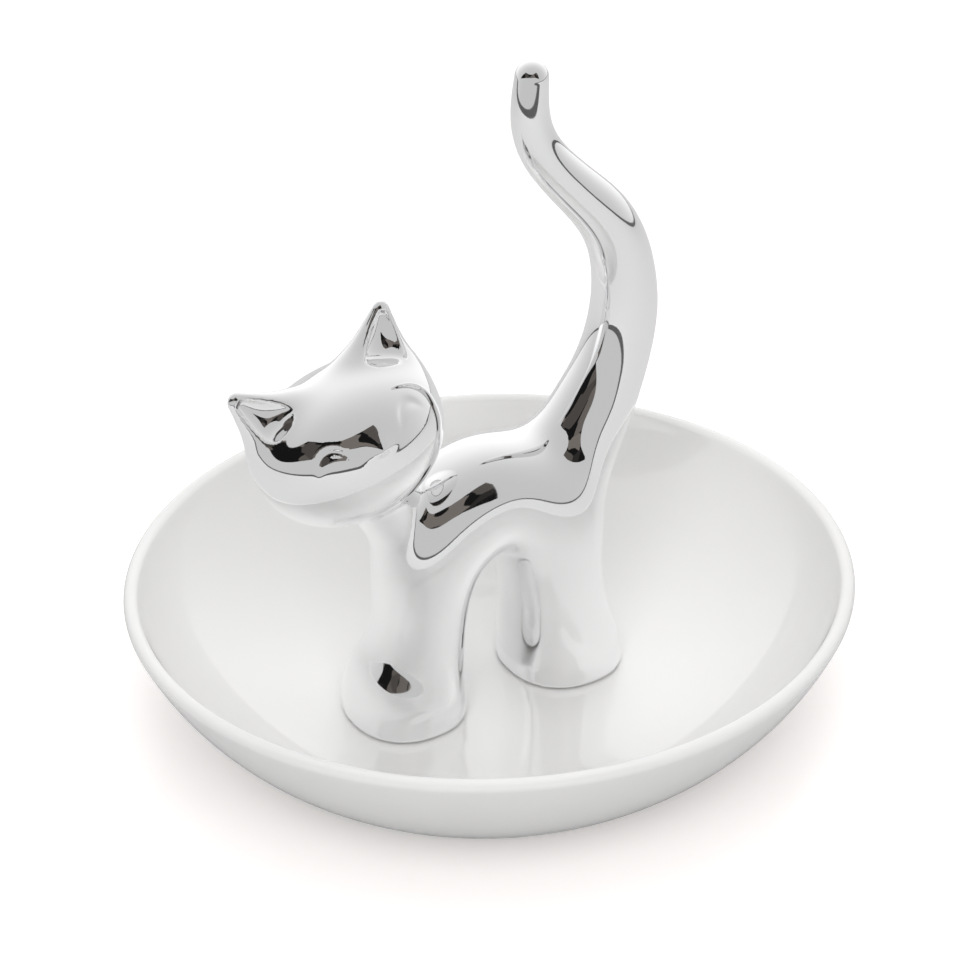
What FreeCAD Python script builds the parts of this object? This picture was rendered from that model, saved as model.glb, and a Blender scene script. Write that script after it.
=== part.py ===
import FreeCAD, Part
import math
import os
import Sketcher

# Ring dish: a glazed porcelain bowl with a plated cat figure bonded to its floor.
# Origin on the bowl's axis at table height, +Z up. The cat faces -Y and its left side is +X.

sizes = {
    # Bowl
    "rim_diameter": 120.0,
    "rim_height": 25.7,
    "lip_thickness": 2.5,
    "wall_radius": 50.0,
    "foot_diameter": 79.0,
    "foot_width": 4.0,
    "foot_recess": 1.4,
    "foot_edge": 0.8,
    "floor_height": 4.4,
    "floor_diameter": 56.0,
    # Beds of adhesive between the soles and the bowl's floor
    "bond_thickness": 0.4,
    "bond_inset": 0.8,
    # Figure, legs and torso
    "figure_height": 109.8,
    "figure_forward": 1.9,
    "stride": 29.8,
    "front_foot_length": 19.4,
    "front_foot_width": 21.4,
    "front_leg_depth": 14.7,
    "front_leg_width": 16.8,
    "torso_height": 35.8,
    "torso_depth": 19.2,
    "torso_width": 18.4,
    "rear_leg_depth": 16.2,
    "rear_leg_width": 20.6,
    "rear_foot_length": 19.8,
    "rear_foot_width": 21.8,
    # Neck and head
    "neck_depth": 12.0,
    "neck_width": 12.0,
    "neck_blend": 2.2,
    "head_width": 32.4,
    "head_depth": 26.8,
    "head_height": 24.4,
    "head_sink": 1.0,
    "head_reach": 7.9,
    "chin_drop": 4.5,
    "head_blend": 1.6,
    "ear_width": 12.4,
    "ear_depth": 7.0,
    "ear_length": 11.4,
    "ear_hollow": 2.4,
    # Tail
    "tail_reach": 17.3,
    "tail_root_diameter": 15.0,
    "tail_diameter": 11.0,
    "tail_tip_diameter": 6.0,
    "tail_blend": 8.0,
}

# How the head is turned from +X, lifted and tipped about its face, and how the ears splay, in degrees
head_turn = -0.9
head_lift = -12.75
head_tip = 16.6
ear_splay = 28.9

# How far the shoulders of a unit section stand out along both axes: a circle, and a softly squared oval
round_shoulder_share = math.sqrt(0.5)
limb_shoulder_share = 0.735

# The figure's path from the front sole over the back to the rear sole: place along half the stride,
# place up the torso's height, depth and width as shares of a named size, and lean in degrees
body_shares = [
    (1.000, 0.000, ("front_foot_length", 0.95), ("front_foot_width", 0.96), 0),
    (1.000, 0.045, ("front_foot_length", 1.00), ("front_foot_width", 1.00), 0),
    (0.973, 0.140, ("front_foot_length", 0.98), ("front_foot_width", 1.00), -8),
    (0.886, 0.265, ("front_leg_depth", 1.14), ("front_leg_width", 1.08), -14),
    (0.819, 0.377, ("front_leg_depth", 1.03), ("front_leg_width", 1.00), -12),
    (0.765, 0.503, ("front_leg_depth", 1.00), ("front_leg_width", 1.00), -8),
    (0.725, 0.642, ("front_leg_depth", 1.07), ("front_leg_width", 1.05), -8),
    (0.661, 0.760, ("torso_depth", 0.90), ("torso_width", 0.99), -18),
    (0.530, 0.866, ("torso_depth", 0.97), ("torso_width", 1.00), -38),
    (0.209, 0.972, ("torso_depth", 1.01), ("torso_width", 1.00), -65),
    (-0.195, 1.000, ("torso_depth", 1.00), ("torso_width", 1.00), -97),
    (-0.519, 0.948, ("torso_depth", 0.98), ("torso_width", 1.03), -124),
    (-0.752, 0.844, ("torso_depth", 0.95), ("torso_width", 1.06), -150),
    (-0.851, 0.706, ("rear_leg_depth", 1.06), ("rear_leg_width", 0.98), -171),
    (-0.879, 0.559, ("rear_leg_depth", 1.00), ("rear_leg_width", 1.00), -175),
    (-0.919, 0.391, ("rear_leg_depth", 1.00), ("rear_leg_width", 1.00), -174),
    (-0.960, 0.223, ("rear_foot_length", 0.89), ("rear_foot_width", 0.97), -174),
    (-0.993, 0.112, ("rear_foot_length", 0.98), ("rear_foot_width", 0.99), -178),
    (-1.000, 0.045, ("rear_foot_length", 1.00), ("rear_foot_width", 1.00), -180),
    (-1.000, 0.000, ("rear_foot_length", 0.96), ("rear_foot_width", 0.97), -180),
]

# The neck, from inside the chest into the head: places from the chest to the head's middle, girth and lean
chest_shares = (0.644, 0.670)
neck_shares = [
    (0.000, 0.000, 0.75, 22),
    (0.250, 0.199, 0.85, 21),
    (0.432, 0.432, 0.88, 21),
    (0.682, 0.681, 1.00, 19),
    (0.795, 0.897, 1.13, 13),
]

# The tail's S, from inside the rump to the tip: places along its reach and up from the rump, girth and lean
rump_shares = (-0.752, 0.844)
tail_shares = [
    (0.069, 0.020, ("tail_root_diameter", 0.78), -52),
    (0.376, 0.104, ("tail_root_diameter", 1.00), -40),
    (0.595, 0.181, ("tail_root_diameter", 0.92), -31),
    (0.780, 0.253, ("tail_diameter", 1.13), -24),
    (0.925, 0.330, ("tail_diameter", 1.05), -14),
    (1.000, 0.410, ("tail_diameter", 1.00), -4),
    (1.000, 0.481, ("tail_diameter", 0.95), 8),
    (0.919, 0.565, ("tail_diameter", 0.88), 24),
    (0.763, 0.632, ("tail_diameter", 0.83), 36),
    (0.543, 0.691, ("tail_diameter", 0.76), 41),
    (0.318, 0.749, ("tail_tip_diameter", 1.27), 37),
    (0.139, 0.807, ("tail_tip_diameter", 1.17), 26),
    (0.046, 0.867, ("tail_tip_diameter", 1.07), 6),
    (0.038, 0.918, ("tail_tip_diameter", 0.98), -6),
    (0.061, 0.966, ("tail_tip_diameter", 0.88), -10),
    (0.068, 0.985, ("tail_tip_diameter", 0.66), -10),
    (0.072, 0.996, ("tail_tip_diameter", 0.36), -10),
    (0.073, 1.000, ("tail_tip_diameter", 0.10), -10),
]

# An ear: where it stands on the head, its girth along its length, and the hollow in its front
ear_base_shares = (0.556, 0.574)
ear_shares = [(-0.15, 1.05), (0.22, 0.86), (0.58, 0.53), (0.87, 0.26)]
ear_hollow_shares = {"along": 0.40, "forward": 0.42, "length": 0.42, "width": 0.27}

# A seam is found by probing each edge at these places along it
probe_shares = (0.2, 0.5, 0.8)
seam_tolerance = 0.02

doc = FreeCAD.newDocument("ring_dish")
sheet = doc.addObject("Spreadsheet::Sheet", "Sizes")
for row, (name, value) in enumerate(sizes.items(), start=1):
    sheet.set("A%d" % row, name)
    sheet.set("B%d" % row, str(value))
    sheet.setAlias("B%d" % row, name)
doc.recompute()

x_axis = FreeCAD.Vector(1, 0, 0)


def size(name):
    return float(sheet.get(name))


def cell(name, share=1):
    return "Sizes.%s * %g" % (name, share)


def bind(thing, **expressions):
    for path, expression in expressions.items():
        thing.setExpression(path.replace("__", "."), expression)
    return thing


# Bowl

def make_dish():
    lip = size("lip_thickness") / 2
    rim = FreeCAD.Vector(size("rim_diameter") / 2 - lip, size("rim_height") - lip, 0)
    foot = FreeCAD.Vector(size("foot_diameter") / 2, size("foot_edge"), 0)
    floor = FreeCAD.Vector(size("floor_diameter") / 2, size("floor_height"), 0)
    recess = FreeCAD.Vector(foot.x - size("foot_width"), size("foot_recess"), 0)

    # The inside is an arc that leaves the floor level and meets the lip
    across = rim - floor
    inner_radius = (across.x ** 2 + across.y ** 2 - lip ** 2) / (2 * (across.y + lip))
    inner_centre = floor + FreeCAD.Vector(0, inner_radius, 0)

    # The outside is an arc from the foot that the lip touches from within
    outer_radius = size("wall_radius")
    span = rim - foot
    along = (span.Length ** 2 + outer_radius ** 2 - (outer_radius - lip) ** 2) / (2 * span.Length)
    beside = math.sqrt(outer_radius ** 2 - along ** 2)
    unit = FreeCAD.Vector(span).normalize()
    outer_centre = foot + unit * along + FreeCAD.Vector(-unit.y, unit.x, 0) * beside

    def bearing(centre, point):
        return math.atan2(point.y - centre.y, point.x - centre.x)

    def arc(centre, radius, start, end):
        circle = Part.Circle(centre, FreeCAD.Vector(0, 0, 1), radius)
        return Part.ArcOfCircle(circle, start, end)

    foot_corner = FreeCAD.Vector(foot.x - foot.y, 0, 0)
    recess_corner = FreeCAD.Vector(recess.x, 0, 0)
    under_centre = FreeCAD.Vector(0, recess.y, 0)
    floor_centre = FreeCAD.Vector(0, floor.y, 0)
    outer_end = bearing(outer_centre, rim)
    inner_end = bearing(inner_centre, rim)

    body = doc.addObject("PartDesign::Body", "Dish")
    plane = [f for f in body.Origin.OriginFeatures if f.Role == "XZ_Plane"][0]
    sketch = body.newObject("Sketcher::SketchObject", "DishSection")
    sketch.AttachmentSupport = [(plane, "")]
    sketch.MapMode = "FlatFace"
    under, step, rest, edge, outside, lip_round, inside, level, axis = sketch.addGeometry([
        Part.LineSegment(under_centre, recess),
        Part.LineSegment(recess, recess_corner),
        Part.LineSegment(recess_corner, foot_corner),
        Part.LineSegment(foot_corner, foot),
        arc(outer_centre, outer_radius, bearing(outer_centre, foot), outer_end),
        arc(rim, lip, outer_end, inner_end + math.pi),
        arc(inner_centre, inner_radius, -math.pi / 2, inner_end),
        Part.LineSegment(floor, floor_centre),
        Part.LineSegment(floor_centre, under_centre),
    ])
    begin, end, middle = 1, 2, 3
    origin = (-1, 1)
    for first, second in [(under, step), (step, rest), (rest, edge), (level, axis), (axis, under)]:
        sketch.addConstraint(Sketcher.Constraint("Coincident", first, end, second, begin))
    sketch.addConstraint([
        Sketcher.Constraint("Coincident", edge, end, outside, begin),
        Sketcher.Constraint("Tangent", outside, end, lip_round, begin),
        Sketcher.Constraint("Tangent", lip_round, end, inside, end),
        Sketcher.Constraint("Tangent", inside, begin, level, begin),
        Sketcher.Constraint("Horizontal", under),
        Sketcher.Constraint("Vertical", step),
        Sketcher.Constraint("Horizontal", level),
        Sketcher.Constraint("PointOnObject", under, begin, -2),
        Sketcher.Constraint("PointOnObject", axis, begin, -2),
        Sketcher.Constraint("PointOnObject", rest, begin, -1),
        Sketcher.Constraint("PointOnObject", rest, end, -1),
    ])

    def dimension(kind, places, expression):
        number = sketch.addConstraint(Sketcher.Constraint(kind, *places))
        sketch.setExpression("Constraints[%d]" % number, expression)

    dimension("DistanceX", (*origin, under, end, recess.x), "Sizes.foot_diameter / 2 - Sizes.foot_width")
    dimension("DistanceY", (*origin, under, end, recess.y), "Sizes.foot_recess")
    dimension("DistanceX", (*origin, edge, begin, foot_corner.x), "Sizes.foot_diameter / 2 - Sizes.foot_edge")
    dimension("DistanceX", (*origin, edge, end, foot.x), "Sizes.foot_diameter / 2")
    dimension("DistanceY", (*origin, edge, end, foot.y), "Sizes.foot_edge")
    dimension("Radius", (outside, outer_radius), "Sizes.wall_radius")
    dimension("Radius", (lip_round, lip), "Sizes.lip_thickness / 2")
    dimension("DistanceX", (*origin, lip_round, middle, rim.x),
              "(Sizes.rim_diameter - Sizes.lip_thickness) / 2")
    dimension("DistanceY", (*origin, lip_round, middle, rim.y),
              "Sizes.rim_height - Sizes.lip_thickness / 2")
    dimension("DistanceX", (*origin, level, begin, floor.x), "Sizes.floor_diameter / 2")
    dimension("DistanceY", (*origin, level, begin, floor.y), "Sizes.floor_height")

    turned = body.newObject("PartDesign::Revolution", "DishForm")
    turned.Profile = sketch
    turned.ReferenceAxis = (sketch, ["V_Axis"])
    turned.Angle = 360
    return body


# Cat figure: every section is a unit outline drawn out to its width and depth

def make_unit(name, shoulder):
    corners = [(1, 0), (shoulder, shoulder), (0, 1), (-shoulder, shoulder)]
    corners += [(-x, -y) for x, y in corners]
    curve = Part.BSplineCurve()
    curve.interpolate([FreeCAD.Vector(x, y, 0) for x, y in corners], PeriodicFlag=True)
    unit = doc.addObject("Part::Feature", name)
    unit.Shape = Part.Wire(curve.toShape())
    return unit


unit_circle = doc.addObject("Part::Circle", "UnitCircle")
unit_circle.Radius = 1
unit_round = make_unit("UnitRound", round_shoulder_share)
unit_limb = make_unit("UnitLimb", limb_shoulder_share)


def make_oval(name, unit, half_x, half_y, place, lean):
    oval = doc.addObject("Part::Scale", name)
    oval.Base = unit
    oval.Uniform = False
    oval.Placement = FreeCAD.Placement(FreeCAD.Vector(), FreeCAD.Rotation(x_axis, lean))
    along_x, along_y, along_z = place
    return bind(oval, XScale=half_x, YScale=half_y, Placement__Base__x=along_x,
                Placement__Base__y=along_y, Placement__Base__z=along_z)


def make_loft(name, sections):
    loft = doc.addObject("Part::Loft", name)
    loft.Sections = sections
    loft.Solid = True
    return loft


def body_place(shares):
    along, rise = shares[:2]
    return ("0", "%s - Sizes.figure_forward" % cell("stride", -along / 2), cell("torso_height", rise))


def make_body():
    sections = []
    for number, shares in enumerate(body_shares):
        depth, width, lean = shares[2:]
        half_width = "%s / 2" % cell(*width)
        half_depth = "%s / 2" % cell(*depth)
        name = "BodySection%d" % number
        sections.append(make_oval(name, unit_limb, half_width, half_depth, body_place(shares), lean))
    return make_loft("BodyForm", sections)


# The head stands ahead of the front foot, with its chin below the level of the back

def head_place():
    along = "-(Sizes.stride / 2 + Sizes.figure_forward + Sizes.head_reach)"
    rise = "Sizes.torso_height + (Sizes.torso_depth + Sizes.head_height) / 2"
    return ("0", along, rise + " + Sizes.head_sink - Sizes.chin_drop")


def between(start, end, share):
    return "(%s) * %g + (%s) * %g" % (start, 1 - share, end, share)


def make_neck():
    _, chest_along, chest_rise = body_place(chest_shares)
    _, head_along, head_rise = head_place()
    sections = []
    for number, (reach, rise, girth, lean) in enumerate(neck_shares):
        place = ("0", between(chest_along, head_along, reach), between(chest_rise, head_rise, rise))
        half_width = cell("neck_width", girth / 2)
        half_depth = cell("neck_depth", girth / 2)
        sections.append(make_oval("NeckSection%d" % number, unit_round, half_width, half_depth, place, lean))
    return make_loft("NeckForm", sections)


def make_tail():
    _, rump_along, rump_rise = body_place(rump_shares)
    sections = []
    for number, (reach, rise, girth, lean) in enumerate(tail_shares):
        along = "%s + %s" % (rump_along, cell("tail_reach", reach))
        place = ("0", along, between(rump_rise, cell("figure_height"), rise))
        radius = "%s / 2" % cell(*girth)
        sections.append(make_oval("TailSection%d" % number, unit_round, radius, radius, place, lean))
    return make_loft("TailForm", sections)


# The head is made facing +X with its left at +Y, then turned as one

def make_ear(side_name, side):
    splay = FreeCAD.Rotation(x_axis, -side * ear_splay)
    aim = splay.multVec(FreeCAD.Vector(0, 0, 1))
    base_side, base_up = ear_base_shares

    def place(along):
        across = "%s + %s" % (cell("head_width", side * base_side / 2), cell("ear_length", along * aim.y))
        up = "%s + %s" % (cell("head_height", base_up / 2), cell("ear_length", along * aim.z))
        return ("0", across, up)

    def make_lobe(name, along, half_length, half_depth, half_width, forward="0"):
        lobe = doc.addObject("Part::Ellipsoid", side_name + name)
        lobe.Placement = FreeCAD.Placement(FreeCAD.Vector(), splay)
        _, across, up = place(along)
        return bind(lobe, Radius1=half_length, Radius2=half_depth, Radius3=half_width,
                    Placement__Base__x=forward, Placement__Base__y=across, Placement__Base__z=up)

    sections = []
    for number, (along, girth) in enumerate(ear_shares):
        half_depth = cell("ear_depth", girth / 2)
        half_width = cell("ear_width", girth / 2)
        name = "%sEarSection%d" % (side_name, number)
        sections.append(make_oval(name, unit_circle, half_depth, half_width, place(along), -side * ear_splay))
    tip = make_lobe("EarTip", along, cell("ear_length", 1 - along), half_depth, half_width)
    whole = doc.addObject("Part::Fuse", side_name + "EarForm")
    whole.Base = make_loft(side_name + "EarLoft", sections)
    whole.Tool = tip
    share = ear_hollow_shares
    hollow = make_lobe("EarHollow", share["along"], cell("ear_length", share["length"]), "Sizes.ear_hollow",
                       cell("ear_width", share["width"]), cell("ear_depth", share["forward"]))
    ear = doc.addObject("Part::Cut", side_name + "Ear")
    ear.Base = whole
    ear.Tool = hollow
    return ear


def make_head():
    # The skull's own seam line faces away from the neck's, so that the two don't meet in the blend
    skull = doc.addObject("Part::Ellipsoid", "Skull")
    skull.Placement.Rotation = FreeCAD.Rotation(FreeCAD.Vector(0, 0, 1), 180)
    bind(skull, Radius1="Sizes.head_height / 2", Radius2="Sizes.head_depth / 2",
         Radius3="Sizes.head_width / 2", Placement__Base__z=cell("head_sink", -1))
    head = doc.addObject("Part::MultiFuse", "Head")
    head.Shapes = [skull, make_ear("Left", 1), make_ear("Right", -1)]
    head.Placement.Rotation = FreeCAD.Rotation(head_turn, head_lift, head_tip)
    _, along, rise = head_place()
    return bind(head, Placement__Base__y=along, Placement__Base__z=rise)


# A seam is where the skins of two forms meet in the figure that they were fused into

def lies_on(edge, form):
    first, last = edge.ParameterRange
    probes = [edge.valueAt(first + (last - first) * share) for share in probe_shares]
    skin = form.Shape.Shells[0]
    return all(Part.Vertex(probe).distToShape(skin)[0] < seam_tolerance for probe in probes)


def make_blend(name, fused, seams):
    doc.recompute()
    rounded = []
    for first, second, radius in seams:
        for number, edge in enumerate(fused.Shape.Edges, start=1):
            if lies_on(edge, first) and lies_on(edge, second):
                rounded.append((number, size(radius), size(radius)))
    blend = doc.addObject("Part::Fillet", name)
    blend.Base = fused
    blend.Edges = rounded
    return blend


def make_cat():
    body, neck, tail = make_body(), make_neck(), make_tail()
    trunk = doc.addObject("Part::MultiFuse", "Trunk")
    trunk.Shapes = [body, neck, tail]
    trunk_blend = make_blend("TrunkBlend", trunk, [(body, neck, "neck_blend"), (body, tail, "tail_blend")])
    head = make_head()
    figure = doc.addObject("Part::Fuse", "Figure")
    figure.Base = trunk_blend
    figure.Tool = head
    cat = make_blend("CatFigure", figure, [(trunk_blend, head, "head_blend")])
    return bind(cat, Placement__Base__z="Sizes.floor_height + Sizes.bond_thickness")


def make_bond(name, shares):
    depth, width = shares[2:4]
    along_x, along_y, level = body_place(shares)
    half_width = "%s / 2 - Sizes.bond_inset" % cell(*width)
    half_depth = "%s / 2 - Sizes.bond_inset" % cell(*depth)
    outline = make_oval(name + "Outline", unit_limb, half_width, half_depth, (along_x, along_y, level), 0)
    bond = doc.addObject("Part::Extrusion", name)
    bond.Base = outline
    bond.DirMode = "Custom"
    bond.Dir = FreeCAD.Vector(0, 0, 1)
    bond.Solid = True
    return bind(bond, LengthFwd="Sizes.bond_thickness", Placement__Base__z="Sizes.floor_height")


pieces = {
    "dish": make_dish(),
    "cat_figure": make_cat(),
    "front_foot_bond": make_bond("FrontFootBond", body_shares[0]),
    "rear_foot_bond": make_bond("RearFootBond", body_shares[-1]),
}
for label, piece in pieces.items():
    piece.Label = label
doc.recompute()

for thing in doc.Objects:
    if "Invalid" in thing.State or "Error" in thing.State:
        raise RuntimeError("%s failed to build" % thing.Name)
for label, piece in pieces.items():
    if piece.Shape.isNull() or not piece.Shape.isValid():
        raise RuntimeError("%s has no valid shape" % label)

os.makedirs("parts", exist_ok=True)
for label, piece in pieces.items():
    piece.Shape.exportStep("parts/%s.step" % label)
    print("%-16s %d solid, %.0f mm3" % (label, len(piece.Shape.Solids), piece.Shape.Volume))
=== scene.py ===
import bpy
import math
import numpy as np
from mathutils import Matrix, Vector


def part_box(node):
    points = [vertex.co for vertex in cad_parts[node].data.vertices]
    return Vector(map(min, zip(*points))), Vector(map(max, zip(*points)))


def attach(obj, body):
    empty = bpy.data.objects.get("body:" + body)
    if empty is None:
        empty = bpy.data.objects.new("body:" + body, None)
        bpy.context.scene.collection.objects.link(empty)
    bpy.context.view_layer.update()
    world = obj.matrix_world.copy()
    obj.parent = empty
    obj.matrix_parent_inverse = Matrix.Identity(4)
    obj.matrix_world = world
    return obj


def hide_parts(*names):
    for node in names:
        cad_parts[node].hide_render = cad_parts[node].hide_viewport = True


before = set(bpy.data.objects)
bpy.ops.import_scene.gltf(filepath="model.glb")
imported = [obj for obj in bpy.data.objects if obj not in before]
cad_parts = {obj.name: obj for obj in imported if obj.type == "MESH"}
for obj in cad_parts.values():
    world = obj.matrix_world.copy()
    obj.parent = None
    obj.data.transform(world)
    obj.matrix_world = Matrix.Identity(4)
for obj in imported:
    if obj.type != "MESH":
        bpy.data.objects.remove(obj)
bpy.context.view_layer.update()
print("frame loaded:", sorted(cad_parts))

mm = 0.001
tiny = 1e-9    # keeps a division or a power away from zero
scene = bpy.context.scene


# Helpers

def addMesh(name, points, faces, normals=None):
    mesh = bpy.data.meshes.new(name)
    mesh.from_pydata([tuple(p) for p in points], [], [tuple(f) for f in faces])
    mesh.polygons.foreach_set("use_smooth", [True] * len(mesh.polygons))
    mesh.update()
    if normals is not None:
        mesh.normals_split_custom_set_from_vertices([tuple(n) for n in normals])
    piece = bpy.data.objects.new(name, mesh)
    scene.collection.objects.link(piece)
    return piece


def newMaterial(name):
    material = bpy.data.materials.new(name)
    material.use_nodes = True
    return material, material.node_tree, material.node_tree.nodes["Principled BSDF"]


def addNode(tree, kind, inputs=None, **settings):
    node = tree.nodes.new(kind)
    for key, value in settings.items():
        setattr(node, key, value)
    for key, value in (inputs or {}).items():
        if isinstance(value, bpy.types.NodeSocket):
            tree.links.new(value, node.inputs[key])
        else:
            node.inputs[key].default_value = value
    return node


def remap(tree, value, span, target):
    inputs = {0: value, 1: span[0], 2: span[1], 3: target[0], 4: target[1]}
    return addNode(tree, "ShaderNodeMapRange", inputs).outputs[0]


def addNoise(tree, scale, detail):
    spot = addNode(tree, "ShaderNodeTexCoord").outputs["Object"]
    return addNode(tree, "ShaderNodeTexNoise", {"Vector": spot, "Scale": scale, "Detail": detail}).outputs[0]


def mixColours(tree, share, first, second):
    inputs = {0: share, 6: first, 7: second}
    return addNode(tree, "ShaderNodeMix", inputs, data_type="RGBA").outputs[2]


def addBump(tree, shader, height, strength, depth):
    bump = addNode(tree, "ShaderNodeBump", {"Height": height, "Strength": strength, "Distance": depth})
    tree.links.new(bump.outputs[0], shader.inputs["Normal"])


def calculate(tree, operation, first, second):
    return addNode(tree, "ShaderNodeMath", {0: first, 1: second}, operation=operation).outputs[0]


# Camera: fitted to the rim's ellipse, angles in degrees and lengths in millimetres
shot = {
    "azimuth": 60.5, "elevation": 32.464, "distance": 600.0, "ringHeight": 24.5,
    "pan": -0.091, "tilt": -1.532, "roll": 1.802, "lens": 136.625, "sensor": 36.0,
}


def turnAbout(axis, degrees):
    return Matrix.Rotation(math.radians(degrees), 4, axis)


def makeCamera():
    data = bpy.data.cameras.new("camera")
    data.lens = shot["lens"]
    data.sensor_width = shot["sensor"]
    camera = bpy.data.objects.new("camera", data)
    scene.collection.objects.link(camera)
    swing = turnAbout("Z", shot["azimuth"]) @ turnAbout("X", 90 - shot["elevation"])
    aim = turnAbout("Y", -shot["pan"]) @ turnAbout("X", -shot["tilt"]) @ turnAbout("Z", -shot["roll"])
    ringCentre = Matrix.Translation((0, 0, shot["ringHeight"] * mm))
    camera.matrix_world = ringCentre @ swing @ Matrix.Translation((0, 0, shot["distance"] * mm)) @ aim
    scene.camera = camera


makeCamera()
print("camera placed")


# Dish: a lathe-turned bowl with a round lip and a foot ring, millimetres
bowl = {
    "rimRadius": 60.0, "rimHeight": 25.7, "lip": 1.25, "wallRadius": 50.0,
    "footRadius": 39.5, "footWidth": 4.0, "footRecess": 1.4, "footEdge": 0.8,
    "floorHeight": 4.4, "floorRadius": 28.0, "hubRadius": 0.6,
    "recessRise": 0.3, "recessRun": 0.35, "recessRing": 1.5,
    # points on each stretch of the profile, and around the dish
    "floorPoints": 24, "insidePoints": 40, "lipPoints": 16, "outsidePoints": 36,
    "footPoints": 6, "innerPoints": 5, "underPoints": 14, "around": 240,
    # how far the rim strays from round, and its waves: number around, share and phase
    "wobble": 0.12, "waves": [(2, 1.0, 0.7), (3, 0.5, 2.1)],
}


def arcPoints(centre, radius, start, end, count):
    angles = np.linspace(start, end, count)
    return [(centre[0] + radius * math.cos(a), centre[1] + radius * math.sin(a)) for a in angles]


def bowlProfile():
    lip = bowl["lip"]
    rim = np.array((bowl["rimRadius"] - lip, bowl["rimHeight"] - lip))
    foot = np.array((bowl["footRadius"], bowl["footEdge"]))
    floor = np.array((bowl["floorRadius"], bowl["floorHeight"]))
    across = rim - floor
    innerRadius = (across @ across - lip ** 2) / (2 * (across[1] + lip))
    innerCentre = floor + (0, innerRadius)
    span = rim - foot
    reach = np.linalg.norm(span)
    along = (reach ** 2 + bowl["wallRadius"] ** 2 - (bowl["wallRadius"] - lip) ** 2) / (2 * reach)
    beside = math.sqrt(bowl["wallRadius"] ** 2 - along ** 2)
    unit = span / reach
    outerCentre = foot + unit * along + np.array((-unit[1], unit[0])) * beside

    def bearing(centre, point):
        return math.atan2(point[1] - centre[1], point[0] - centre[0])

    outerEnd = bearing(outerCentre, rim)
    innerEnd = bearing(innerCentre, rim)
    outerStart = bearing(outerCentre, foot)
    inner = bowl["footRadius"] - bowl["footWidth"]
    edge = bowl["footEdge"]
    hub, recess, quarter = bowl["hubRadius"], bowl["footRecess"], math.pi / 2
    level = [(r, bowl["floorHeight"]) for r in np.linspace(hub, bowl["floorRadius"], bowl["floorPoints"])]
    inside = arcPoints(innerCentre, innerRadius, -quarter, innerEnd, bowl["insidePoints"])[1:]
    lipRound = arcPoints(rim, lip, innerEnd + math.pi, outerEnd, bowl["lipPoints"])[1:]
    outside = arcPoints(outerCentre, bowl["wallRadius"], outerEnd, outerStart, bowl["outsidePoints"])[1:]
    footRound = arcPoints((foot[0] - edge, edge), edge, 0, -quarter, bowl["footPoints"])[1:]
    innerRound = arcPoints((inner + edge / 2, edge / 2), edge / 2, -quarter, -math.pi, bowl["innerPoints"])
    under = [(inner, recess - bowl["recessRise"]), (inner - bowl["recessRun"], recess)]
    under += [(r, recess) for r in np.linspace(inner - bowl["recessRing"], hub, bowl["underPoints"])]
    return level + inside + lipRound + outside + footRound + innerRound + under


def makeDish():
    profile = bowlProfile()
    count = bowl["around"]
    turns = np.arange(count) * 2 * math.pi / count
    points = []
    for radius, height in profile:
        # fired ware is never quite round: a slow wobble that grows towards the rim
        lift = (height / bowl["rimHeight"]) ** 2 * bowl["wobble"]
        for turn in turns:
            sway = lift * sum(share * math.sin(n * turn + phase) for n, share, phase in bowl["waves"])
            points.append(((radius + sway) * math.cos(turn), (radius + sway) * math.sin(turn), height))
    faces = []
    for ring in range(len(profile) - 1):
        for step in range(count):
            after = (step + 1) % count
            low, high = ring * count, (ring + 1) * count
            faces.append((low + step, low + after, high + after, high + step))
    top, bottom = len(points), len(points) + 1
    points += [(0, 0, profile[0][1]), (0, 0, profile[-1][1])]
    last = (len(profile) - 1) * count
    for step in range(count):
        after = (step + 1) % count
        faces.append((top, after, step))
        faces.append((bottom, last + step, last + after))
    return addMesh("porcelain_dish", np.array(points) * mm, [f[::-1] for f in faces])


dish = makeDish()
print("dish turned:", len(dish.data.vertices), "points")


# Cat: modelled as clay from swept forms that melt into each other, then skinned
# Forward is towards the chest and heights are above the soles, millimetres
clay = {
    "voxel": 0.5, "pad": 2.0, "soleHeight": 4.8, "soleRound": 1.2,
    "neckMelt": 4.8, "tailMelt": 9.0, "headMelt": 2.4, "square": 2.25,
    # front sole, over the back, to the rear sole: forward, height, half depth, half width
    "limbs": [
        (16.8, -8.0, 9.6, 10.3), (16.8, -3.0, 9.7, 10.5), (16.8, 1.6, 9.7, 10.7),
        (16.4, 5.0, 9.6, 10.7), (15.1, 9.5, 8.4, 9.1), (14.1, 13.5, 7.6, 8.4),
        (13.3, 18.0, 7.35, 8.4), (12.7, 23.0, 7.9, 8.8), (9.8, 31.0, 9.3, 9.2),
        (-1.0, 35.8, 9.6, 9.2), (-9.3, 30.2, 9.1, 9.8), (-11.2, 20.0, 8.1, 10.3),
        (-11.8, 14.0, 8.1, 10.3), (-12.4, 8.0, 8.8, 10.6), (-12.9, 4.0, 9.7, 10.8),
        (-13.0, 1.6, 9.9, 10.9), (-13.0, -3.0, 9.8, 10.8), (-13.0, -8.0, 9.6, 10.7),
    ],
    # forward, height, radius
    "neck": [(14.8, 30.0, 5.1), (17.2, 37.0, 5.3), (20.5, 44.5, 6.0), (22.0, 51.0, 6.8)],
    "tail": [
        (-10.5, 31.0, 7.9), (-15.8, 38.5, 7.5), (-19.6, 44.6, 6.9), (-22.8, 50.3, 6.2),
        (-25.3, 56.5, 5.75), (-26.6, 62.8, 5.5), (-26.6, 68.5, 5.2), (-25.2, 75.2, 4.85),
        (-22.5, 80.5, 4.55), (-18.7, 85.2, 4.15), (-14.8, 89.8, 3.8), (-11.7, 94.4, 3.5),
        (-10.1, 99.2, 3.2), (-9.95, 103.3, 2.95), (-10.35, 107.1, 2.7),
    ],
}

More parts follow.
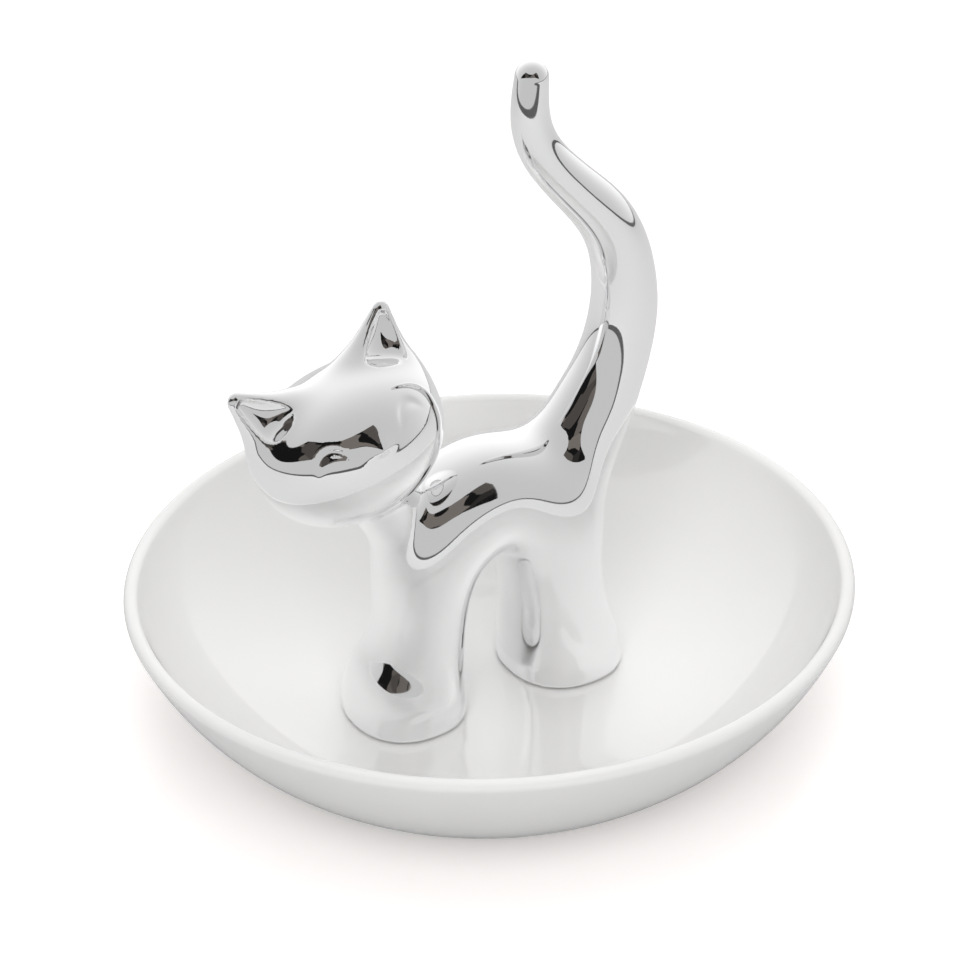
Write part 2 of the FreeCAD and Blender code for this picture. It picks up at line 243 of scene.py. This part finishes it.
# Head: made facing +X with its left at +Y, then turned, angles in degrees
head = {
    "forward": 24.7, "height": 54.1, "turn": -0.9, "lift": -12.75, "tip": 16.6,
    "depth": 13.4, "width": 16.2, "chin": 13.2, "crown": 11.2, "crownFlat": 1.25,
    "earSide": 9.0, "earUp": 7.0, "earTipSide": 13.8, "earTipUp": 15.7, "earTipFront": 0.5,
    "earRadius": 6.2, "earTipRadius": 1.5, "earThin": 1.75, "earMelt": 6.0,
    "hollowRadius": 5.0, "hollowFront": 3.9, "hollowOut": 0.2, "hollowUp": 1.2, "hollowEdge": 0.8,
    "hollowTipRadius": 0.9, "hollowTipFront": 1.2, "hollowTipIn": 0.5, "hollowTipDown": 0.8,
    "faceFrom": 2.0, "faceFull": 7.0,    # how far forward the face's relief begins and is whole
    "eyeSide": 7.3, "eyeUp": 4.6, "eyeWide": 2.3, "eyeTall": 0.85, "eyeBow": 0.24, "eyeDeep": 0.36,
    "noseUp": 1.3, "noseWide": 1.9, "noseRise": 2.0, "noseDrop": 0.8, "noseProud": 0.45,
}


def splineThrough(rows, spacing=0.05):
    # a natural cubic spline through the rows, by chord length, sampled closely
    rows = np.array(rows, float)
    chord = np.concatenate([[0], np.cumsum(np.linalg.norm(np.diff(rows[:, :2], axis=0), axis=1))])
    gap = np.diff(chord)
    count = len(rows)
    matrix = np.eye(count)
    slopes = np.zeros_like(rows)
    for i in range(1, count - 1):
        matrix[i, i - 1:i + 2] = gap[i - 1], 2 * (gap[i - 1] + gap[i]), gap[i]
        slopes[i] = 6 * ((rows[i + 1] - rows[i]) / gap[i] - (rows[i] - rows[i - 1]) / gap[i - 1])
    bend = np.linalg.solve(matrix, slopes)
    at = np.linspace(0, chord[-1], int(chord[-1] / spacing) + 1)
    k = np.clip(np.searchsorted(chord, at, side="right") - 1, 0, count - 2)
    a = (chord[k + 1] - at)[:, None]
    b = (at - chord[k])[:, None]
    g = gap[k][:, None]
    values = (bend[k] * a ** 3 + bend[k + 1] * b ** 3) / (6 * g)
    values += (rows[k] / g - bend[k] * g / 6) * a + (rows[k + 1] / g - bend[k + 1] * g / 6) * b
    tangent = np.gradient(values[:, :2], at, axis=0)
    tangent /= np.linalg.norm(tangent, axis=1)[:, None]
    return {"at": at, "values": values, "tangent": tangent, "bend": np.gradient(tangent, at, axis=0)}


def readPath(path, key, at):
    return np.stack([np.interp(at, path["at"], column) for column in path[key].T], 1)


def searchPath(path, forward, height, skip=10):
    # the place on the path nearest to each point of a grid, by every tenth sample
    points = np.stack([forward.ravel(), height.ravel()], 1)
    samples = path["values"][::skip, :2]
    gaps = np.full(len(points), np.inf)
    at = np.zeros(len(points))
    for place, sample in zip(path["at"][::skip], samples):
        gap = ((points - sample) ** 2).sum(1)
        nearer = gap < gaps
        gaps[nearer] = gap[nearer]
        at[nearer] = place
    return at.reshape(forward.shape)


def measureFrom(path, forward, height, at, steps=3, leastTurn=0.3):
    # how far each point lies out from the path and past its end, with the girths there
    points = np.stack([forward.ravel(), height.ravel()], 1)
    at = at.ravel()
    for _ in range(steps):
        off = points - readPath(path, "values", at)[:, :2]
        ahead = (off * readPath(path, "tangent", at)).sum(1)
        turn = 1 - (off * readPath(path, "bend", at)).sum(1)
        at = np.clip(at + ahead / np.maximum(turn, leastTurn), 0, path["at"][-1])
    values = readPath(path, "values", at)
    way = readPath(path, "tangent", at)
    off = points - values[:, :2]
    out = off[:, 0] * way[:, 1] - off[:, 1] * way[:, 0]
    past = (off * way).sum(1)
    return [v.reshape(forward.shape) for v in (out, past, *values[:, 2:].T)]


leastSteep = 0.02    # keeps a form's field level where it has no slope


def smoothStep(value, low, high):
    t = np.clip((value - low) / (high - low), 0, 1)
    return t * t * (3 - 2 * t)


def melt(a, b, width):
    # the union of two forms, with a soft fillet
    h = np.clip(1 - np.abs(a - b) / width, 0, None)
    return np.minimum(a, b) - h ** 3 * width / 6


def carve(a, b, width):
    return -melt(-a, b, width)


def limbField(side, out, depth, width):
    # a section slightly squarer than an ellipse
    square = clay["square"]
    a = np.abs(side) / width + tiny
    b = np.abs(out) / depth + tiny
    q = (a ** square + b ** square) ** (1 / square)
    steep = q ** (1 - square) * np.hypot(a ** (square - 1) / width, b ** (square - 1) / depth)
    return (q - 1) / np.maximum(steep, leastSteep)


def roundCone(x, y, z, base, tip, baseRadius, tipRadius):
    # a cone with ball ends
    axis = np.subtract(tip, base)
    long = axis @ axis
    shrink = baseRadius - tipRadius
    slope = long - shrink ** 2
    px, py, pz = x - base[0], y - base[1], z - base[2]
    along = px * axis[0] + py * axis[1] + pz * axis[2]
    beyond = along - long
    cross = (px * long - axis[0] * along) ** 2
    cross = cross + (py * long - axis[1] * along) ** 2
    cross = cross + (pz * long - axis[2] * along) ** 2
    k = np.sign(shrink) * shrink ** 2 * cross
    top = np.sqrt(cross + beyond ** 2 * long) / long - tipRadius
    low = np.sqrt(cross + along ** 2 * long) / long - baseRadius
    wall = (np.sqrt(cross * slope / long) + along * shrink) / long - baseRadius
    field = np.where(np.sign(beyond) * slope * beyond ** 2 * long > k, top, wall)
    return np.where(np.sign(along) * slope * along ** 2 * long < k, low, field)


headPose = turnAbout("Z", head["turn"]) @ turnAbout("Y", head["lift"]) @ turnAbout("X", head["tip"])
headTurn = np.array(headPose)[:3, :3]


def headPlace(side, forward, height):
    # into the head's own frame
    dx, dy, dz = side, -(forward - head["forward"]), height - head["height"]
    return [headTurn[0, c] * dx + headTurn[1, c] * dy + headTurn[2, c] * dz for c in range(3)]


def faceRelief(x, y, z):
    # closed eyes as incised bows, and a small nose that drops off below
    up = z - head["noseUp"]
    nose = (y / head["noseWide"]) ** 2 + (up / np.where(up > 0, head["noseRise"], head["noseDrop"])) ** 2
    relief = head["noseProud"] * np.exp(-nose)
    for side in (-1, 1):
        across = y - side * head["eyeSide"]
        up = z - head["eyeUp"] + head["eyeBow"] * across ** 2
        bow = np.exp(-(across / head["eyeWide"]) ** 4 - (up / head["eyeTall"]) ** 2)
        relief = relief - head["eyeDeep"] * bow
    return smoothStep(x, head["faceFrom"], head["faceFull"]) * relief


def earField(x, y, z, hand):
    # a cone thinned from front to back, hollowed by a second one in front of it
    thin = head["earThin"]
    base = (0, hand * head["earSide"], head["earUp"])
    tip = (head["earTipFront"] * thin, hand * head["earTipSide"], head["earTipUp"])
    ear = roundCone(x * thin, y, z, base, tip, head["earRadius"], head["earTipRadius"])
    inner = (head["hollowFront"] * thin, hand * (head["earSide"] + head["hollowOut"]),
             head["earUp"] + head["hollowUp"])
    innerTip = (head["hollowTipFront"] * thin, hand * (head["earTipSide"] - head["hollowTipIn"]),
                head["earTipUp"] - head["hollowTipDown"])
    hollow = roundCone(x * thin, y, z, inner, innerTip, head["hollowRadius"], head["hollowTipRadius"])
    return carve(ear / math.sqrt(thin), hollow / math.sqrt(thin), head["hollowEdge"])


def headField(side, forward, height):
    x, y, z = headPlace(side, forward, height)
    # an egg with a round chin and a flatter crown
    flat, crown, chin = head["crownFlat"], head["crown"], head["chin"]
    rise = np.maximum(z, 0) / crown + tiny
    c = np.where(z > 0, rise ** flat, z / chin)
    climb = np.where(z > 0, flat * rise ** (flat - 1) / crown, 1 / chin)
    a, b = x / head["depth"], y / head["width"]
    q = np.sqrt(a * a + b * b + c * c) + tiny
    steep = np.sqrt((a / head["depth"]) ** 2 + (b / head["width"]) ** 2 + (c * climb) ** 2) / q
    field = (q - 1) / np.maximum(steep, leastSteep)
    for hand in (-1, 1):
        field = melt(field, earField(x, y, z, hand), head["earMelt"])
    return field - faceRelief(x, y, z)


paths = {name: splineThrough(clay[name]) for name in ("limbs", "neck", "tail")}


def catField(side, forward, height, measured):
    out, _, depth, width = measured["limbs"]
    field = limbField(side, out, depth, width)
    for name in ("neck", "tail"):
        out, past, radius = measured[name]
        tube = np.sqrt(side ** 2 + out ** 2 + past ** 2) - radius
        field = melt(field, tube, clay[name + "Melt"])
    field = melt(field, headField(side, forward, height), clay["headMelt"])
    return -melt(-field, height, clay["soleRound"])


def fieldAt(points, guide):
    side, forward, height = points.T
    i = np.rint((forward - guide["low"][1]) / clay["voxel"]).astype(int)
    j = np.rint((height - guide["low"][2]) / clay["voxel"]).astype(int)
    i = np.clip(i, 0, guide["shape"][0] - 1)
    j = np.clip(j, 0, guide["shape"][1] - 1)
    measured = {n: measureFrom(p, forward, height, guide[n][i, j]) for n, p in paths.items()}
    return catField(side, forward, height, measured)


def slopeAt(points, guide, step=0.02):
    slope = np.zeros_like(points)
    for axis in range(3):
        shift = np.zeros(3)
        shift[axis] = step
        slope[:, axis] = (fieldAt(points + shift, guide) - fieldAt(points - shift, guide)) / (2 * step)
    return slope


def skinClay(low, high, voxel):
    # one point in every cell that the skin passes through, one face across every crossed edge
    axes = [np.arange(a, b, voxel) for a, b in zip(low, high)]
    forward, height = np.meshgrid(axes[1], axes[2], indexing="ij")
    guide = {n: searchPath(p, forward, height) for n, p in paths.items()}
    guide["low"], guide["shape"] = low, forward.shape
    measured = {n: measureFrom(p, forward, height, guide[n]) for n, p in paths.items()}
    field = np.stack([catField(np.full_like(forward, s), forward, height, measured) for s in axes[0]])
    inside = field < 0
    corners = [inside[i:inside.shape[0] - 1 + i, j:inside.shape[1] - 1 + j, k:inside.shape[2] - 1 + k]
               for i in (0, 1) for j in (0, 1) for k in (0, 1)]
    mixed = np.any(corners, axis=0) & ~np.all(corners, axis=0)
    cells = np.argwhere(mixed)
    number = np.full(mixed.shape, -1)
    number[mixed] = np.arange(len(cells))
    points = np.stack([axes[c][cells[:, c]] for c in range(3)], 1) + voxel / 2
    faces = []
    steps = np.eye(3, dtype=int)
    for axis in range(3):
        first = np.take(inside, range(inside.shape[axis] - 1), axis)
        second = np.take(inside, range(1, inside.shape[axis]), axis)
        i, j, k = np.argwhere(first != second).T
        leaving = first[i, j, k]
        u, v = steps[(axis + 1) % 3], steps[(axis + 2) % 3]
        quad = []
        for du, dv in ((1, 1), (0, 1), (0, 0), (1, 0)):
            back = du * u + dv * v
            quad.append(number[i - back[0], j - back[1], k - back[2]])
        quad = np.stack(quad, 1)
        quad[~leaving] = quad[~leaving][:, ::-1]
        faces.append(quad)
    return points, np.concatenate(faces), guide


def settle(points, faces, guide, rounds=4, leastSlope=0.05):
    # even the points out, then draw them onto the clay's own surface, in the last round twice
    edges = np.concatenate([faces[:, [0, 1]], faces[:, [1, 2]], faces[:, [2, 3]], faces[:, [3, 0]]])
    degree = np.bincount(edges.ravel(), minlength=len(points))[:, None]
    for turn in range(rounds):
        total = np.zeros_like(points)
        for c in range(3):
            total[:, c] = np.bincount(edges[:, 0], points[edges[:, 1], c], len(points))
            total[:, c] += np.bincount(edges[:, 1], points[edges[:, 0], c], len(points))
        points = total / degree
        for _ in range(2 if turn == rounds - 1 else 1):
            slope = slopeAt(points, guide)
            pull = fieldAt(points, guide) / np.maximum((slope ** 2).sum(1), leastSlope)
            points = points - slope * pull[:, None]
    return points, slopeAt(points, guide)


def makeCat():
    low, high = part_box("cat_figure")
    pad = clay["pad"]
    lowest = (low.x / mm - pad, -high.y / mm - pad, -pad)
    highest = (high.x / mm + pad, -low.y / mm + pad, high.z / mm - clay["soleHeight"] + pad)
    points, faces, guide = skinClay(lowest, highest, clay["voxel"])
    points, slope = settle(points, faces, guide)
    flip = np.array((1, -1, 1))
    slope /= np.linalg.norm(slope, axis=1)[:, None]
    placed = (points * flip + (0, 0, clay["soleHeight"])) * mm
    return addMesh("plated_cat", placed, faces[:, ::-1], slope * flip)


cat = makeCat()
print("cat skinned:", len(cat.data.vertices), "points")


# Finishes: tones, noise scales per metre, and bump depths in metres
plating = {
    "tone": (0.93, 0.93, 0.935), "hazeScale": 60.0, "hazeDetail": 4.0, "hazeSpan": (0.35, 0.75),
    "roughness": (0.02, 0.07),
    "rippleScale": 130.0, "rippleDetail": 1.0, "rippleStrength": 0.05, "rippleDepth": 0.0004,
}
glaze = {
    "tones": ((0.90, 0.896, 0.886), (0.92, 0.917, 0.909)), "roughness": (0.03, 0.06), "specular": 1.0,
    "cloudScale": 22.0, "cloudDetail": 3.0, "cloudSpan": (0.3, 0.7),
    "bumpStrength": 0.04, "bumpDepth": 0.0005,
}
adhesive = {
    "tones": ((0.42, 0.41, 0.38), (0.6, 0.59, 0.55)), "roughness": (0.25, 0.5), "specular": 0.5,
    "cloudScale": 400.0, "cloudDetail": 3.0, "cloudSpan": (0.3, 0.7),
    "bumpStrength": 0.1, "bumpDepth": 0.0002,
}


def platingFinish():
    # bright metal with a breath of haze and a faint ripple
    material, tree, shader = newMaterial("silver_plating")
    haze = addNoise(tree, plating["hazeScale"], plating["hazeDetail"])
    ripple = addNoise(tree, plating["rippleScale"], plating["rippleDetail"])
    shader.inputs["Base Color"].default_value = (*plating["tone"], 1)
    shader.inputs["Metallic"].default_value = 1
    roughness = remap(tree, haze, plating["hazeSpan"], plating["roughness"])
    tree.links.new(roughness, shader.inputs["Roughness"])
    addBump(tree, shader, ripple, plating["rippleStrength"], plating["rippleDepth"])
    return material


def cloudyFinish(name, finish):
    # tone, roughness and bump from one soft cloud
    material, tree, shader = newMaterial(name)
    cloud = addNoise(tree, finish["cloudScale"], finish["cloudDetail"])
    first, second = finish["tones"]
    tree.links.new(mixColours(tree, cloud, (*first, 1), (*second, 1)), shader.inputs["Base Color"])
    roughness = remap(tree, cloud, finish["cloudSpan"], finish["roughness"])
    tree.links.new(roughness, shader.inputs["Roughness"])
    shader.inputs["Specular IOR Level"].default_value = finish["specular"]
    addBump(tree, shader, cloud, finish["bumpStrength"], finish["bumpDepth"])
    return material


dish.data.materials.append(cloudyFinish("glazed_porcelain", glaze))
cat.data.materials.append(platingFinish())
bondMaterial = cloudyFinish("clear_adhesive", adhesive)
for name in ("front_foot_bond", "rear_foot_bond"):
    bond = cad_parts[name]
    bond.data.materials.clear()
    bond.data.materials.append(bondMaterial)

for piece, node, slot in ((dish, "dish", "glazed_porcelain"), (cat, "cat_figure", "silver_plating")):
    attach(piece, "root")
    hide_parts(node)
print("finishes set")


# Studio: a white paper floor and a turntable, in a tent that is open on one side
# Lengths in metres, angles in degrees
studio = {
    "floorSize": 6.0, "floorTone": 0.76, "seenTone": (0.98, 0.95, 0.94), "floorLift": 0.27,
    "grainScale": 300.0, "grainDetail": 2.0, "grainSpan": (0.3, 0.7), "paperRoughness": (0.85, 0.95),
    "worldFill": 0.62, "wallBright": 1.2, "wallDim": 0.57, "wallBend": 3.0, "openSide": 60.5,
    "tableRadius": 0.55, "tableHub": 0.00055, "tableBack": 0.25, "tableRise": 0.0005,
    # the gap ring's tone is painted shade, a dark glow for the shadow line at the table's edge
    "edgeWidth": 0.1, "gapShade": 0.11,
    "openingFar": 1.3, "roomScale": 2.0, "roomBend": 3.0,
    "roomDark": (0.008, 0.008, 0.008), "roomLight": (0.18, 0.16, 0.145),
    # outline of the opening: side angle from its middle, lowest and highest elevation
    "opening": [
        (-78, 6, 8), (-74, 7, 20), (-68, 9, 34), (-60, 13, 47), (-45, 18, 48),
        (-30, 21, 46), (-15, 23, 45), (0, 24, 45), (12, 24, 46), (24, 22, 48),
        (36, 16, 50), (44, 11, 50), (48, 10, 40),
    ],
}


def mirrorOnly(piece):
    # cards that only the mirrored light sees
    piece.visible_camera = False
    piece.visible_diffuse = False
    piece.visible_shadow = False


def plainCard(name, tone):
    material = bpy.data.materials.new(name)
    material.use_nodes = True
    tree = material.node_tree
    tree.nodes.clear()
    glow = addNode(tree, "ShaderNodeEmission", {"Color": (tone, tone, tone, 1)})
    addNode(tree, "ShaderNodeOutputMaterial", {"Surface": glow.outputs[0]})
    return material


def lookTowards(side, rise):
    # a direction by its angle from the tent's open side and its elevation
    side, rise = math.radians(side + studio["openSide"]), math.radians(rise)
    return Vector((math.sin(side) * math.cos(rise), -math.cos(side) * math.cos(rise), math.sin(rise)))


def roomFinish():
    # the room outside the tent, in blocks that are mostly black
    material = plainCard("dark_room", 1)
    tree = material.node_tree
    spot = addNode(tree, "ShaderNodeTexCoord").outputs["Object"]
    blocks = addNode(tree, "ShaderNodeTexVoronoi", {"Vector": spot, "Scale": studio["roomScale"]},
                     distance="CHEBYCHEV").outputs["Color"]
    block = addNode(tree, "ShaderNodeSeparateColor", {0: blocks}).outputs[0]
    dim = calculate(tree, "POWER", block, studio["roomBend"])
    tone = mixColours(tree, dim, (*studio["roomDark"], 1), (*studio["roomLight"], 1))
    tree.links.new(tone, tree.nodes["Emission"].inputs["Color"])
    return material


def makeOpening():
    far = studio["openingFar"]
    points = []
    for side, low, high in studio["opening"]:
        points += [lookTowards(side, low) * far, lookTowards(side, high) * far]
    faces = [(2 * i, 2 * i + 2, 2 * i + 3, 2 * i + 1) for i in range(len(studio["opening"]) - 1)]
    card = addMesh("tent_opening", points, faces)
    card.data.materials.append(roomFinish())
    mirrorOnly(card)


def makeRing(name, inner, outer, material, count=180):
    centre = lookTowards(0, 0) * -studio["tableBack"]
    turns = np.arange(count) * 2 * math.pi / count
    rise = studio["tableRise"]
    points = []
    for radius in (inner, outer):
        points += [(centre.x + radius * math.cos(t), centre.y + radius * math.sin(t), rise) for t in turns]
    faces = [(i, (i + 1) % count, (i + 1) % count + count, i + count) for i in range(count)]
    ring = addMesh(name, points, faces)
    ring.data.materials.append(material)
    mirrorOnly(ring)


def makeTurntable(paper):
    # the plating mirrors the table and the gap around it, a dark ring of painted shade; beyond them the
    # tent's wall shows
    radius = studio["tableRadius"]
    makeRing("turntable", studio["tableHub"], radius, paper)
    # the gap ring glows a dark grey: painted shade for the shadow line at the table's edge
    makeRing("turntable_gap", radius, radius + studio["edgeWidth"], plainCard("painted_gap_shade", studio["gapShade"]))


def paperFinish():
    # white to the camera, and a little lifted, so that only the shadow shows
    material, tree, shader = newMaterial("floor_paper")
    grain = addNoise(tree, studio["grainScale"], studio["grainDetail"])
    seen = addNode(tree, "ShaderNodeLightPath").outputs["Is Camera Ray"]
    tone, seenTone = studio["floorTone"], (*studio["seenTone"], 1)
    tree.links.new(mixColours(tree, seen, (tone, tone, tone, 1), seenTone), shader.inputs["Base Color"])
    roughness = remap(tree, grain, studio["grainSpan"], studio["paperRoughness"])
    tree.links.new(roughness, shader.inputs["Roughness"])
    shader.inputs["Specular IOR Level"].default_value = 0
    shader.inputs["Emission Color"].default_value = seenTone
    lift = calculate(tree, "MULTIPLY", seen, studio["floorLift"])
    tree.links.new(lift, shader.inputs["Emission Strength"])
    return material


def makeFloor(paper):
    half = studio["floorSize"] / 2
    corners = [(-half, -half, 0), (half, -half, 0), (half, half, 0), (-half, half, 0)]
    floor = addMesh("floor", corners, [(0, 1, 2, 3)])
    floor.data.materials.append(paper)
    floor.visible_glossy = False


def makeWorld():
    # white to the camera; the plating mirrors the tent's wall, brighter away from its open side
    world = bpy.data.worlds.new("studio")
    scene.world = world
    world.use_nodes = True
    tree = world.node_tree
    back = tree.nodes["Background"]
    light = addNode(tree, "ShaderNodeLightPath").outputs
    clear = calculate(tree, "MAXIMUM", light["Is Camera Ray"], light["Is Transmission Ray"])
    seen = calculate(tree, "MAXIMUM", clear, light["Is Glossy Ray"])
    way = addNode(tree, "ShaderNodeTexCoord").outputs["Generated"]
    facing = addNode(tree, "ShaderNodeVectorMath", {0: way, 1: lookTowards(0, 0)}, operation="DOT_PRODUCT")
    away = remap(tree, facing.outputs["Value"], (-1, 1), (1, 0))
    bend = calculate(tree, "POWER", away, studio["wallBend"])
    wall = remap(tree, bend, (0, 1), (studio["wallDim"], studio["wallBright"]))
    tree.links.new(mixColours(tree, clear, wall, (1, 1, 1, 1)), back.inputs["Color"])
    tree.links.new(remap(tree, seen, (0, 1), (studio["worldFill"], 1)), back.inputs["Strength"])


# Lamps: soft squares aimed at the dish, places and widths in metres, power in watts
lamps = {
    "overhead": {"place": Vector((0.1, -0.06, 0.9)), "width": 0.5, "power": 1.3},
    "front": {"place": lookTowards(0, 45) * 1.2, "width": 0.8, "power": 6.1},
    "back": {"place": lookTowards(170, 45) * 1.2, "width": 0.8, "power": 3.0},
}


def addLamp(name, lamp):
    data = bpy.data.lights.new(name, "AREA")
    data.size = lamp["width"]
    data.energy = lamp["power"]
    light = bpy.data.objects.new(name, data)
    light.location = lamp["place"]
    light.rotation_euler = (-lamp["place"]).to_track_quat("-Z", "Y").to_euler()
    light.visible_glossy = False
    scene.collection.objects.link(light)


paper = paperFinish()
makeFloor(paper)
makeTurntable(paper)
makeWorld()
makeOpening()
for name, lamp in lamps.items():
    addLamp(name, lamp)
print("studio lit")

scene.view_settings.view_transform = "Standard"
